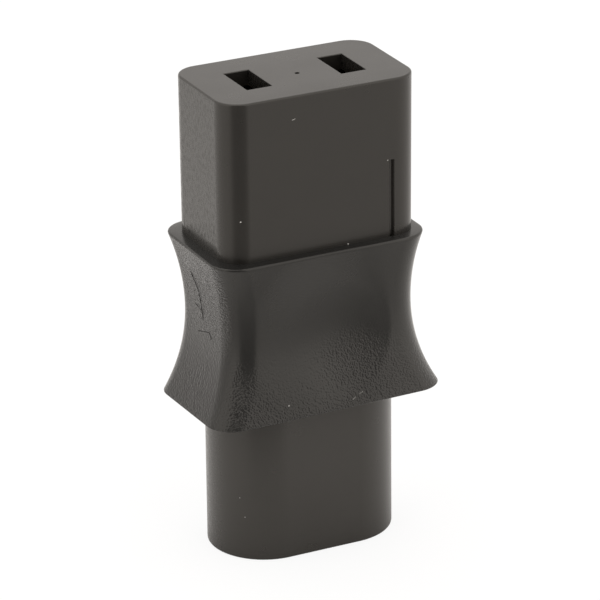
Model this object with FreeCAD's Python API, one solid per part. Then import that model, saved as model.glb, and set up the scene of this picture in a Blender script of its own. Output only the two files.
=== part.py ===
import FreeCAD, Part
import math
import os

# In-line mains adapter: figure-of-eight inlet at the bottom, two-slot outlet at the top and a grip collar
# between them. Millimetres. The origin is the centre of the inlet's mouth, +Z runs up to the outlet face,
# the long side of the section lies along X, and the front face looks along -Y.

# Outlet block
SLOT_PITCH = 10.0
SLOT_WIDTH = 2.6
SLOT_LENGTH = 5.2
CHAMBER_WIDTH = 5.4
CHAMBER_LENGTH = 6.4
CHAMBER_CORNER = 0.5
END_WALL = 1.35
SIDE_WALL = 1.7
TOP_WALL = 1.6
SHOULDER_STEP = 1.3
OUTLET_CORNER = 2.5
OUTLET_TAPER = 0.05
OUTLET_REACH = 16.1
OUTLET_EDGE = 0.2
GATE_PIT_DIAMETER = 0.5
GATE_PIT_DEPTH = 0.3
GATE_PIT_OFFSET = 0.5
KEY_GROOVE_X = 7.3
KEY_GROOVE_WIDTH = 0.4
KEY_GROOVE_DEPTH = 0.25
KEY_GROOVE_RISE = 7.9

# Grip collar
COLLAR_HEIGHT = 16.5
LEDGE_WIDTH = 1.1
SEAT_DEPTH = 1.2
GRIP_END_WALL = 1.1
GRIP_SIDE_WALL = 1.7
GRIP_CORNER = 2.9
WAIST_RISE = 8.95
SKIRT_END_FLARE = 2.3
SKIRT_SIDE_FLARE = 1.05
RIM_EDGE = 0.15
DISH_WIDTH = 13.5
DISH_HEIGHT = 15.3
DISH_DEPTH = 0.7

# Inlet shroud
RECESS_WIDTH = 15.6
RECESS_BREADTH = 7.9
RECESS_DEPTH = 13.6
RECESS_LEAD_IN = 0.3
RIB_RADIUS = 2.2
RIB_HEIGHT = 0.8
SHROUD_WALL = 1.8
SHROUD_REACH = 15.7
SHROUD_EDGE = 0.25
SHROUD_INSERTION = 2.35

# Retaining grooves that the collar is moulded into
GROOVE_DEPTH = 0.5
NECK_GROOVE_HEIGHT = 2.0
SHROUD_GROOVE_HEIGHT = 0.9

# Inlet pins
PIN_PITCH = 8.6
PIN_DIAMETER = 2.36
PIN_REACH = 9.2
PIN_SEAT_DIAMETER = 2.8
PIN_SHOULDER_DIAMETER = 3.6
PIN_SHOULDER_HEIGHT = 1.0
PIN_TAIL_DIAMETER = 1.2
PIN_HEAD_DIAMETER = 1.8
PIN_HEAD_HEIGHT = 0.45
PIN_SEAT_CLEARANCE = 0.03

# Spring contacts
SHEET = 0.5
CONTACT_BREADTH = 4.8
CONTACT_CLEARANCE = 0.1
CONTACT_HEADROOM = 0.7
CONTACT_FOOT_RISE = 9.0
PINCH_GAP = 1.6
PINCH_DROP = 4.2
MOUTH_GAP = 3.2
BEND_RADIUS = 0.75
LEAF_RADIUS = 3.0
FINGER_SLIT = 0.6
FINGER_LENGTH = 14.0
RIVET_CLEARANCE = 0.02

# Derived levels, from the mouth upwards
COLLAR_FOOT = SHROUD_REACH
COLLAR_LIP = COLLAR_FOOT + COLLAR_HEIGHT
COLLAR_MIDDLE = COLLAR_FOOT + COLLAR_HEIGHT / 2
COLLAR_WAIST = COLLAR_FOOT + WAIST_RISE
BLOCK_FOOT = COLLAR_LIP - SEAT_DEPTH
OUTLET_FACE = COLLAR_LIP + OUTLET_REACH
SHROUD_TOP = SHROUD_REACH + SHROUD_INSERTION
CHAMBER_TOP = OUTLET_FACE - TOP_WALL

# Derived sections
OUTLET_WIDTH = SLOT_PITCH + CHAMBER_WIDTH + 2 * (END_WALL + SHOULDER_STEP)
OUTLET_DEPTH = CHAMBER_LENGTH + 2 * (SIDE_WALL + SHOULDER_STEP)
FOOT_WIDTH = OUTLET_WIDTH - 2 * OUTLET_TAPER
FOOT_DEPTH = OUTLET_DEPTH - 2 * OUTLET_TAPER
NECK_WIDTH = OUTLET_WIDTH - 2 * SHOULDER_STEP
NECK_DEPTH = OUTLET_DEPTH - 2 * SHOULDER_STEP
NECK_CORNER = OUTLET_CORNER - SHOULDER_STEP / 2
LIP_WIDTH = FOOT_WIDTH + 2 * LEDGE_WIDTH
LIP_DEPTH = FOOT_DEPTH + 2 * LEDGE_WIDTH
WAIST_WIDTH = NECK_WIDTH + 2 * GRIP_END_WALL
WAIST_DEPTH = NECK_DEPTH + 2 * GRIP_SIDE_WALL
SKIRT_WIDTH = WAIST_WIDTH + 2 * SKIRT_END_FLARE
SKIRT_DEPTH = WAIST_DEPTH + 2 * SKIRT_SIDE_FLARE
SHROUD_WIDTH = RECESS_WIDTH + 2 * SHROUD_WALL
SHROUD_DEPTH = RECESS_BREADTH + 2 * SHROUD_WALL

UP = FreeCAD.Vector(0, 0, 1)
ORIGIN = FreeCAD.Vector(0, 0, 0)
TOUCH = 1e-5
OVERCUT = 1.0
FULL_TURN = 360
DISH_OVERRUN = 1.2


def point(x, y, z):
    return FreeCAD.Vector(x, y, z)


def rounded_outline(width, depth, radius, z):
    """Closed rectangle with round corners, centred on the axis, at height z."""
    corner_x = width / 2 - radius
    corner_y = depth / 2 - radius
    signs = [(1, 1), (-1, 1), (-1, -1), (1, -1)]
    arcs = []
    for quarter, (sign_x, sign_y) in enumerate(signs):
        centre = point(sign_x * corner_x, sign_y * corner_y, z)
        arcs.append(Part.makeCircle(radius, centre, UP, 90 * quarter, 90 * quarter + 90))
    edges = []
    for arc, following in zip(arcs, arcs[1:] + arcs[:1]):
        start = arc.valueAt(arc.LastParameter)
        end = following.valueAt(following.FirstParameter)
        edges.append(arc)
        if start.distanceToPoint(end) > TOUCH:
            edges.append(Part.makeLine(start, end))
    return Part.Wire(edges)


def prism(width, depth, radius, bottom, top):
    """Upright rounded block between two heights."""
    outline = rounded_outline(width, depth, radius, bottom)
    return Part.Face(outline).extrude(UP * (top - bottom))


def cylinder(diameter, x, y, bottom, top):
    return Part.makeCylinder(diameter / 2, top - bottom, point(x, y, bottom), UP)


def groove_ring(width, depth, radius, bottom, height):
    """Ring just inside an outline: the cut for a retaining groove."""
    outer = prism(width + OVERCUT, depth + OVERCUT, radius + OVERCUT / 2, bottom, bottom + height)
    inset = 2 * GROOVE_DEPTH
    inner = prism(width - inset, depth - inset, radius - GROOVE_DEPTH, bottom, bottom + height)
    return outer.cut(inner)


def edges_at_height(shape, z):
    """Edges that lie wholly in the level plane at height z."""
    return [edge for edge in shape.Edges
            if abs(edge.BoundBox.ZMin - z) < TOUCH and abs(edge.BoundBox.ZMax - z) < TOUCH]


def housing_body():
    """Outlet block on its neck, without the chambers: also the form that the collar is moulded round."""
    foot = rounded_outline(FOOT_WIDTH, FOOT_DEPTH, OUTLET_CORNER - OUTLET_TAPER, BLOCK_FOOT)
    face = rounded_outline(OUTLET_WIDTH, OUTLET_DEPTH, OUTLET_CORNER, OUTLET_FACE)
    block = Part.makeLoft([foot, face], True, True)
    neck = prism(NECK_WIDTH, NECK_DEPTH, NECK_CORNER, SHROUD_TOP, BLOCK_FOOT)
    groove_foot = (SHROUD_TOP + BLOCK_FOOT - NECK_GROOVE_HEIGHT) / 2
    groove = groove_ring(NECK_WIDTH, NECK_DEPTH, NECK_CORNER, groove_foot, NECK_GROOVE_HEIGHT)
    return block.fuse(neck.cut(groove)).removeSplitter()


def shroud_body():
    """Outside of the inlet shroud, with the groove that holds it in the collar."""
    body = prism(SHROUD_WIDTH, SHROUD_DEPTH, SHROUD_DEPTH / 2, 0, SHROUD_TOP)
    groove_foot = (COLLAR_FOOT + SHROUD_TOP - SHROUD_GROOVE_HEIGHT) / 2
    groove = groove_ring(SHROUD_WIDTH, SHROUD_DEPTH, SHROUD_DEPTH / 2, groove_foot, SHROUD_GROOVE_HEIGHT)
    return body.cut(groove)


def outlet_housing():
    body = housing_body()
    body = body.makeFillet(OUTLET_EDGE, edges_at_height(body, OUTLET_FACE))
    for side in (-1, 1):
        shift = point(side * SLOT_PITCH / 2, 0, 0)
        chamber = prism(CHAMBER_WIDTH, CHAMBER_LENGTH, CHAMBER_CORNER, SHROUD_TOP - OVERCUT, CHAMBER_TOP)
        slot = Part.makeBox(SLOT_WIDTH, SLOT_LENGTH, TOP_WALL + 2 * OVERCUT,
                            point(-SLOT_WIDTH / 2, -SLOT_LENGTH / 2, CHAMBER_TOP - OVERCUT))
        for cutter in (chamber, slot):
            cutter.translate(shift)
            body = body.cut(cutter)
    body = body.cut(cylinder(GATE_PIT_DIAMETER, 0, -GATE_PIT_OFFSET, OUTLET_FACE - GATE_PIT_DEPTH,
                             OUTLET_FACE + OVERCUT))
    groove_floor = FOOT_DEPTH / 2 - KEY_GROOVE_DEPTH
    groove_top = COLLAR_LIP + KEY_GROOVE_RISE
    key_groove = Part.makeBox(KEY_GROOVE_WIDTH, KEY_GROOVE_DEPTH + OVERCUT, groove_top - BLOCK_FOOT,
                              point(KEY_GROOVE_X - KEY_GROOVE_WIDTH / 2,
                                    -groove_floor - KEY_GROOVE_DEPTH - OVERCUT, BLOCK_FOOT))
    return body.cut(key_groove)


def figure_eight_recess():
    """Recess of the inlet: a stadium pinched at the middle of its long sides by two round ribs."""
    recess = prism(RECESS_WIDTH, RECESS_BREADTH, RECESS_BREADTH / 2, 0, RECESS_DEPTH)
    rib_reach = RECESS_BREADTH / 2 - RIB_HEIGHT + RIB_RADIUS
    for side in (-1, 1):
        recess = recess.cut(cylinder(2 * RIB_RADIUS, 0, side * rib_reach, 0, RECESS_DEPTH))
    return recess


def inlet_shroud():
    body = shroud_body()
    body = body.makeFillet(SHROUD_EDGE, edges_at_height(body, 0))
    body = body.cut(figure_eight_recess())
    mouth = [edge for edge in edges_at_height(body, 0) if edge.BoundBox.YMax < RECESS_BREADTH / 2 + TOUCH
             and edge.BoundBox.YMin > -RECESS_BREADTH / 2 - TOUCH]
    body = body.makeChamfer(RECESS_LEAD_IN, mouth)
    for side in (-1, 1):
        x = side * PIN_PITCH / 2
        bore = PIN_SEAT_DIAMETER + 2 * PIN_SEAT_CLEARANCE
        counterbore = PIN_SHOULDER_DIAMETER + 2 * PIN_SEAT_CLEARANCE
        body = body.cut(cylinder(bore, x, 0, RECESS_DEPTH - OVERCUT, SHROUD_TOP + OVERCUT))
        body = body.cut(cylinder(counterbore, x, 0, SHROUD_TOP - PIN_SHOULDER_HEIGHT, SHROUD_TOP + OVERCUT))
    return body


def bowed(waist, end, rise, height):
    """Reach at a height from the waist, on an arc that is upright at the waist and gains its end at rise."""
    flare = end - waist
    radius = (flare ** 2 + rise ** 2) / (2 * flare)
    return waist + radius - math.sqrt(radius ** 2 - height ** 2)


def bow_arc(place, sign, waist, end, level, rise, stretch):
    """The same arc as an edge, from the waist's level to stretch times its rise, which may run down."""
    half_way, far = stretch * rise / 2, stretch * rise
    return Part.Arc(place(sign * waist, level),
                    place(sign * bowed(waist, end, rise, half_way), level + half_way),
                    place(sign * bowed(waist, end, rise, far), level + far)).toShape()


def side_reach(level):
    """How far the collar's long sides stand from the axis at a level."""
    if level > COLLAR_WAIST:
        return bowed(WAIST_DEPTH / 2, LIP_DEPTH / 2, COLLAR_LIP - COLLAR_WAIST, level - COLLAR_WAIST)
    return bowed(WAIST_DEPTH / 2, SKIRT_DEPTH / 2, WAIST_RISE, COLLAR_WAIST - level)


def thumb_dish(side):
    """Barrel that cuts one thumb dish: a bowed profile swept round an upright axis in front of the face."""
    deepest = side_reach(COLLAR_MIDDLE) - DISH_DEPTH
    sweep_radius = (DISH_WIDTH / 2) ** 2 / (2 * DISH_DEPTH) + DISH_DEPTH / 2
    bows = [bow_arc(lambda u, z: point(0, u, z), side, deepest, side_reach(COLLAR_MIDDLE + rise),
                    COLLAR_MIDDLE, rise, DISH_OVERRUN) for rise in (-DISH_HEIGHT / 2, DISH_HEIGHT / 2)]
    axis_y = side * (deepest + sweep_radius)
    low, high = [bow.valueAt(bow.LastParameter) for bow in bows]
    low_axis, high_axis = point(0, axis_y, low.z), point(0, axis_y, high.z)
    corners = (high, high_axis, low_axis, low)
    closing = [Part.makeLine(start, end) for start, end in zip(corners, corners[1:])]
    outline = Part.Wire(Part.sortEdges(bows + closing)[0])
    return Part.Face(outline).revolve(low_axis, UP, FULL_TURN)


def waisted_prism(lip, waist, skirt, place, travel):
    """Prism whose two sides bow in to the waist, each by two arcs that meet upright there."""
    ends = ((skirt, -WAIST_RISE), (lip, COLLAR_LIP - COLLAR_WAIST))
    sides = [bow_arc(place, sign, waist / 2, width / 2, COLLAR_WAIST, rise, 1)
             for sign in (-1, 1) for width, rise in ends]
    caps = [Part.makeLine(place(-width / 2, COLLAR_WAIST + rise), place(width / 2, COLLAR_WAIST + rise))
            for width, rise in ends]
    outline = Part.Wire(Part.sortEdges(sides + caps)[0])
    return Part.Face(outline).extrude(travel)


def grip_body():
    """Outside of the collar: bowed on all four sides, with rounded corners and broken rims."""
    front = waisted_prism(LIP_WIDTH, WAIST_WIDTH, SKIRT_WIDTH,
                          lambda u, z: point(u, -SKIRT_DEPTH, z), point(0, 2 * SKIRT_DEPTH, 0))
    side = waisted_prism(LIP_DEPTH, WAIST_DEPTH, SKIRT_DEPTH,
                         lambda u, z: point(-SKIRT_WIDTH, u, z), point(2 * SKIRT_WIDTH, 0, 0))
    body = front.common(side)
    corners = [edge for edge in body.Edges if edge.BoundBox.ZLength > TOUCH]
    body = body.makeFillet(GRIP_CORNER, corners)
    return body.makeChamfer(RIM_EDGE, edges_at_height(body, COLLAR_FOOT) + edges_at_height(body, COLLAR_LIP))


def grip_collar():
    body = grip_body()
    for side in (-1, 1):
        body = body.cut(thumb_dish(side))
    return body.cut(housing_body()).cut(shroud_body())


def inlet_pin(side):
    """Turned pin: round tip, seat and shoulder in the shroud's floor, tail riveted over the contact."""
    radius = PIN_DIAMETER / 2
    tip = RECESS_DEPTH - PIN_REACH
    shoulder_foot = SHROUD_TOP - PIN_SHOULDER_HEIGHT
    plate_top = SHROUD_TOP + SHEET
    head_top = plate_top + PIN_HEAD_HEIGHT
    corners = [(radius, tip + radius), (radius, RECESS_DEPTH),
               (PIN_SEAT_DIAMETER / 2, RECESS_DEPTH), (PIN_SEAT_DIAMETER / 2, shoulder_foot),
               (PIN_SHOULDER_DIAMETER / 2, shoulder_foot), (PIN_SHOULDER_DIAMETER / 2, SHROUD_TOP),
               (PIN_TAIL_DIAMETER / 2, SHROUD_TOP), (PIN_TAIL_DIAMETER / 2, plate_top),
               (PIN_HEAD_DIAMETER / 2, plate_top), (0, head_top), (0, tip)]
    outline = [point(r, 0, z) for r, z in corners]
    half = math.sqrt(0.5)
    nose = Part.Arc(outline[-1], point(radius * half, 0, tip + radius * (1 - half)), outline[0]).toShape()
    sides = [Part.makeLine(start, end) for start, end in zip(outline, outline[1:])]
    pin = Part.Face(Part.Wire(sides + [nose])).revolve(ORIGIN, UP, FULL_TURN)
    pin.translate(point(side * PIN_PITCH / 2, 0, 0))
    return pin


def bent_path(corners, radii):
    """Open path through the corners, each inner corner rounded by its own radius."""
    edges = []
    start = corners[0]
    for before, corner, after, radius in zip(corners, corners[1:], corners[2:], radii):
        back = (before - corner).normalize()
        ahead = (after - corner).normalize()
        half_angle = back.getAngle(ahead) / 2
        run = radius / math.tan(half_angle)
        bisector = (back + ahead).normalize()
        middle = corner + bisector * (radius / math.sin(half_angle) - radius)
        arc_start, arc_end = corner + back * run, corner + ahead * run
        edges.append(Part.makeLine(start, arc_start))
        edges.append(Part.Arc(arc_start, middle, arc_end).toShape())
        start = arc_end
    edges.append(Part.makeLine(start, corners[-1]))
    return Part.Wire(edges)


def spring_contact(side):
    """Folded strip: base plate, two leaves that lean in to pinch a flat blade, and a flared mouth."""
    half_span = (CHAMBER_WIDTH - SHEET) / 2 - CONTACT_CLEARANCE
    base = SHROUD_TOP + SHEET / 2
    mouth = CHAMBER_TOP - CONTACT_HEADROOM
    half_leaf = [(half_span, base), (half_span, base + CONTACT_FOOT_RISE),
                 ((PINCH_GAP + SHEET) / 2, mouth - PINCH_DROP), ((MOUTH_GAP + SHEET) / 2, mouth)]
    left = [point(-x, 0, z) for x, z in reversed(half_leaf)]
    right = [point(x, 0, z) for x, z in half_leaf]
    leaf_radii = [BEND_RADIUS, LEAF_RADIUS, LEAF_RADIUS]
    path = bent_path(left + right, leaf_radii[::-1] + leaf_radii)
    start = left[0]
    heading = path.Edges[0].tangentAt(path.Edges[0].FirstParameter)
    across = point(heading.z, 0, -heading.x) * (SHEET / 2)
    breadth = point(0, CONTACT_BREADTH / 2, 0)
    section = Part.makePolygon([start + across + breadth, start - across + breadth,
                                start - across - breadth, start + across - breadth,
                                start + across + breadth])
    strip = path.makePipeShell([section], True, False)
    slit = Part.makeBox(CHAMBER_WIDTH, FINGER_SLIT, FINGER_LENGTH + OVERCUT,
                        point(-CHAMBER_WIDTH / 2, -FINGER_SLIT / 2, mouth - FINGER_LENGTH))
    strip = strip.cut(slit)
    strip.translate(point(side * SLOT_PITCH / 2, 0, 0))
    hole = cylinder(PIN_TAIL_DIAMETER + 2 * RIVET_CLEARANCE, side * PIN_PITCH / 2, 0,
                    SHROUD_TOP - OVERCUT, SHROUD_TOP + SHEET + OVERCUT)
    return strip.cut(hole)


def main():
    os.makedirs("parts", exist_ok=True)
    pieces = {
        "outlet_housing": outlet_housing(),
        "grip_collar": grip_collar(),
        "inlet_shroud": inlet_shroud(),
    }
    for name, side in (("left", -1), ("right", 1)):
        pieces["contact_" + name] = spring_contact(side)
        pieces["pin_" + name] = inlet_pin(side)
    for name, shape in pieces.items():
        shape.exportStep(f"parts/{name}.step")


main()
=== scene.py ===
"""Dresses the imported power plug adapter: smooth mouldings, plated pins, dust and a white studio."""
import math

import bmesh
import bpy
from bpy.props import FloatProperty, FloatVectorProperty, PointerProperty
from bpy.types import Operator, Panel, PropertyGroup
from mathutils import Matrix, Quaternion, Vector


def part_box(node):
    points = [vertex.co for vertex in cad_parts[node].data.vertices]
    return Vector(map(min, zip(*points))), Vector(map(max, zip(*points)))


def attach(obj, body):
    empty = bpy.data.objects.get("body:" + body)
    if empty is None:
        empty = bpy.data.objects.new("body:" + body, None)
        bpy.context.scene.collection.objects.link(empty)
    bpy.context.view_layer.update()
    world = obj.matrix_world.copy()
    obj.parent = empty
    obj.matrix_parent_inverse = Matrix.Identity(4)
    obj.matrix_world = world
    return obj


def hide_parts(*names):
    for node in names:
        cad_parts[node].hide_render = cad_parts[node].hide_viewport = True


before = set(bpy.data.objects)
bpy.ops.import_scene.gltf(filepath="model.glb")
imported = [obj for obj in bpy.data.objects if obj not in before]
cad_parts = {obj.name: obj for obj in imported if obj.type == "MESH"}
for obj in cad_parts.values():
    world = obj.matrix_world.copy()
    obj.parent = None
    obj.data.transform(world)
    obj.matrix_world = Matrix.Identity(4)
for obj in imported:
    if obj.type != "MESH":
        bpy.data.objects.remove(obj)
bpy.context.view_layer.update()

bl_info = {
    "name": "Power Plug Adapter",
    "version": (1, 0, 0),
    "blender": (4, 5, 0),
    "location": "View3D > Sidebar > Adapter",
    "description": "Models an in-line mains adapter with a waisted grip collar around its packed frame",
    "category": "Add Mesh",
}

# Units, and the limits by which edges and faces are told apart
MM = 0.001
NEAR = 1e-6
SHARP_ANGLE = math.radians(28)
UPRIGHT_SHARE = 0.9
FACING_SHARE = 0.99
STEEP_SHARE = 0.5
RAY_START = 50 * MM

# Shapes: the shroud's round ends as a share of its depth, the band under the collar's lip as a share of the
# lip's radius, and the lengths over which the edge of a thumb dish changes along and up the collar
STADIUM = 0.499
LIP_BAND = 1.5
CREASE_BLEND = 8 * MM
CREASE_FADE = 7 * MM

# Steps round the curves, and cuts along the straight runs
BLOCK_STEPS = 16
COLLAR_STEPS = 26
SHROUD_STEPS = 40
PIN_STEPS = 48
NOSE_STEPS = 6
EDGE_STEPS = 4
SLOT_EDGE_STEPS = 2
SPECK_STEPS = 2
PIT_CUTS = 3
SHROUD_CUTS = 23
COLLAR_LEVEL_CUTS = (110, 54)
COLLAR_UPRIGHT_CUTS = 96

# Specks: the piece, the place along its width and up it, the length and width, and the turn; in millimetres
# and degrees
SPECKS = (
    ("outlet_block", -8.8, 36.5, 0.16, 0.12, 0),
    ("outlet_block", 2.5, 32.25, 0.15, 0.11, 0),
    ("outlet_block", -3.2, 45.95, 0.4, 0.05, 15),
    ("outlet_block", 6.8, 40.1, 0.14, 0.06, 30),
    ("grip_sleeve", -4.7, 17.25, 0.14, 0.1, 0),
    ("grip_sleeve", 2.25, 16.65, 0.6, 0.018, 28),
    ("grip_sleeve", 3.1, 17.1, 0.5, 0.022, 28),
    ("inlet_block", -8.3, 6.6, 0.1, 0.07, 0),
    ("inlet_block", -7.95, 4.6, 0.1, 0.07, 0),
)

# Scratches on the collar's left side: places across its depth and up it, in millimetres
SCRATCHES = (
    ((1.5, 29.2), (0.4, 27.4), (0.2, 26.0), (0.0, 24.5)),
    ((1.5, 25.7), (0.2, 25.4)),
    ((1.1, 23.0), (-1.4, 23.7), (-2.0, 23.2)),
)

# Patches of the collar, each with its middle, its reach along each axis and its share: two keep their grain,
# and one, a painted sheen that makes the colour paler where the thumb rubs, also has the share that holds
# outside it
GRAIN_PATCHES = (
    (Vector((2.0, -6.8, 19.6)) * MM, Vector((7.0, 5.0, 5.5)) * MM, 1.1),
    (Vector((-9.2, -6.9, 18.6)) * MM, Vector((2.8, 3.2, 5.5)) * MM, 1.5),
)
# Painted sheen: the collar's colour is made paler in this patch
PAINTED_SHEEN_PATCH = (Vector((0.3, -6.8, 19.6)) * MM, Vector((5.0, 5.0, 6.0)) * MM, 1.6, 1.0)

# Strength of the soft waves on the collar's sides
WAVE_STRENGTH = 0.5

# Boxes of the CAD pieces
HOUSING_LOW, HOUSING_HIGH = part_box("outlet_housing")
COLLAR_LOW, COLLAR_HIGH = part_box("grip_collar")
SHROUD_LOW, SHROUD_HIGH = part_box("inlet_shroud")
PIN_LOW, PIN_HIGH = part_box("pin_right")


# Sizes and colours that a user would change


def length(name, description, default):
    """A length property, given in millimetres and kept in metres."""
    return FloatProperty(
        name=name, description=description, default=default * MM, unit="LENGTH", precision=5)


def lengths(name, description, *defaults):
    """A property of a few lengths, given in millimetres and kept in metres."""
    metres = tuple(value * MM for value in defaults)
    return FloatVectorProperty(
        name=name, description=description, default=metres, size=len(metres), unit="LENGTH", precision=5)


def pair(name, description, *defaults):
    """A property of two plain numbers."""
    return FloatVectorProperty(name=name, description=description, size=2, default=defaults)


def portion(name, description, default):
    """A property between nothing and one."""
    return FloatProperty(name=name, description=description, default=default, subtype="FACTOR", min=0, max=1)


def film(name, description, default):
    """A length property of the camera, in millimetres."""
    return FloatProperty(name=name, description=description, default=default, unit="CAMERA")


def colour(name, description, default):
    """A linear colour property."""
    return FloatVectorProperty(
        name=name, description=description, default=default, subtype="COLOR", min=0, max=1)


def angle(name, description, default):
    """An angle property, given in degrees and kept in radians."""
    return FloatProperty(name=name, description=description, default=math.radians(default), subtype="ANGLE")


class AdapterOutlet(PropertyGroup):
    """Sizes of the block with the two slots."""
    corner: length("Corner", "Radius of the upright corners", 2.5)
    taper: length("Taper", "How far each side draws in towards the foot", 0.05)
    edge: length("Edge", "Radius round the top face", 0.2)
    shoulder: length("Shoulder", "Step from the block in to its neck", 1.3)
    slot_pitch: length("Slot Pitch", "Distance between the middles of the slots", 10.0)
    slot_width: length("Slot Width", "Size of a slot along the long side", 2.6)
    slot_length: length("Slot Length", "Size of a slot along the short side", 5.2)
    slot_edge: length("Slot Edge", "Radius round the mouth of a slot", 0.08)
    top_wall: length("Top Wall", "Thickness of the top wall", 1.6)
    chamber_width: length("Chamber Width", "Size of a contact chamber along the long side", 5.4)
    chamber_length: length("Chamber Length", "Size of a contact chamber along the short side", 6.4)
    chamber_floor: length("Chamber Floor", "Thickness left under a contact chamber", 0.5)
    gate_diameter: length("Gate Diameter", "Width of the gate pit in the top face", 0.5)
    gate_depth: length("Gate Depth", "Depth of the gate pit", 0.3)
    gate_offset: length("Gate Offset", "Place of the gate pit along the short side", -0.5)
    groove_place: length("Groove Place", "Place of the front groove along the long side", 7.25)
    groove_width: length("Groove Width", "Width of the front groove", 0.54)
    groove_floor: length("Groove Floor", "Width of the front groove's floor", 0.16)
    groove_depth: length("Groove Depth", "Depth of the front groove", 0.32)
    groove_rise: length("Groove Rise", "How far the front groove runs up from the collar", 7.9)
    groove_sink: length("Groove Sink", "How far the front groove runs down into the collar", 0.6)


class AdapterGrip(PropertyGroup):
    """Sizes of the waisted collar."""
    lip: lengths("Lip", "Width and depth at the upper rim", 22.8, 14.5)
    waist: lengths("Waist", "Width and depth at the waist", 20.3, 13.2)
    skirt: lengths("Skirt", "Width and depth at the lower rim", 24.9, 15.3)
    lip_shift: lengths("Lip Shift", "How far the upper rim stands out of line", -0.2, -0.1)
    skirt_shift: lengths("Skirt Shift", "How far the lower rim stands out of line", 0.15, -0.25)
    skirt_tilt: pair("Skirt Tilt", "Rise of the lower rim along the width and along the depth", 0.016, -0.03)
    skirt_sag: length("Skirt Sag", "How far the lower rim hangs down", 0.1)
    corner: length("Corner", "Radius of the upright corners", 2.9)
    seat_depth: length("Seat Depth", "How far the block is let into the collar", 1.2)
    waist_rise: length("Waist Rise", "Height of the waist above the lower rim", 8.95)
    lip_edge: length("Lip Edge", "Radius along the upper rim", 0.25)
    rim_edge: length("Rim Edge", "Radius along the lower rim", 0.15)
    dish_width: length("Dish Width", "Width of a thumb dish", 13.5)
    dish_height: length("Dish Height", "Height of a thumb dish", 15.3)
    dish_depth: length("Dish Depth", "Depth of a thumb dish", 0.7)
    crease: lengths("Crease", "Softness of a thumb dish's edge, on the left and on the right", 0.45, 0.05)
    scratch_width: length("Scratch Width", "Width of a scratch", 0.06)
    scratch_height: length("Scratch Height", "Height of a scratch's burr", 0.02)


class AdapterInlet(PropertyGroup):
    """Sizes of the shroud and its pins."""
    edge: length("Edge", "Radius round the lower rim", 0.25)
    lead_in: length("Lead-in", "Chamfer at the mouth of the recess", 0.3)
    wall: length("Wall", "Thickness of the shroud's wall", 1.8)
    recess_depth: length("Recess Depth", "Depth of the recess", 13.6)
    rib_radius: length("Rib Radius", "Radius of the two ribs in the recess", 2.2)
    rib_height: length("Rib Height", "How far a rib stands into the recess", 0.8)
    rib_slope: length("Rib Slope", "Height over which a rib rises out of the wall at its lower end", 0.4)
    pin_pitch: length("Pin Pitch", "Distance between the pins", 8.6)
    pin_diameter: length("Pin Diameter", "Diameter of a pin", 2.36)
    pin_nose: length("Pin Nose", "Radius round the end of a pin", 0.7)
    shoulder_diameter: length("Shoulder Diameter", "Diameter of the shoulder that holds a pin", 3.6)
    shoulder_sink: length("Shoulder Sink", "Depth of a pin's shoulder behind the floor of the recess", 1.4)
    shoulder_height: length("Shoulder Height", "Height of a pin's shoulder", 1.0)
    tail_diameter: length("Tail Diameter", "Diameter of a pin's tail", 1.2)
    rivet_diameter: length("Rivet Diameter", "Diameter of the head riveted on a pin's tail", 1.8)
    rivet_height: length("Rivet Height", "Height of the head riveted on a pin's tail", 0.45)


class AdapterFinish(PropertyGroup):
    """Colours and grain of the materials."""
    housing: colour("Housing", "Colour of the two blocks", (0.0145, 0.0133, 0.0118))
    grip: colour("Grip", "Colour of the collar", (0.0133, 0.0131, 0.0126))
    sheen: colour("Sheen", "Tint of the light that the plastics reflect", (1.0, 0.97, 0.92))
    nickel: colour("Nickel", "Colour of the plated pins", (0.72, 0.71, 0.68))
    brass: colour("Brass", "Colour of the contacts", (0.78, 0.6, 0.3))
    dust: colour("Dust", "Colour of the dust specks", (0.5, 0.49, 0.47))
    scratch: colour("Scratch", "Colour of the scratches", (0.006, 0.0056, 0.005))
    grain_pitch: length("Grain Pitch", "Spacing of the leather grain on the collar", 0.175)
    grain_depth: length("Grain Depth", "Depth of the leather grain on the collar", 0.068)
    grain_wander: length("Grain Wander", "How far the leather grain strays from an even net", 0.13)
    wave_depth: length("Wave Depth", "Depth of the soft waves on the collar's sides", 0.03)


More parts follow.
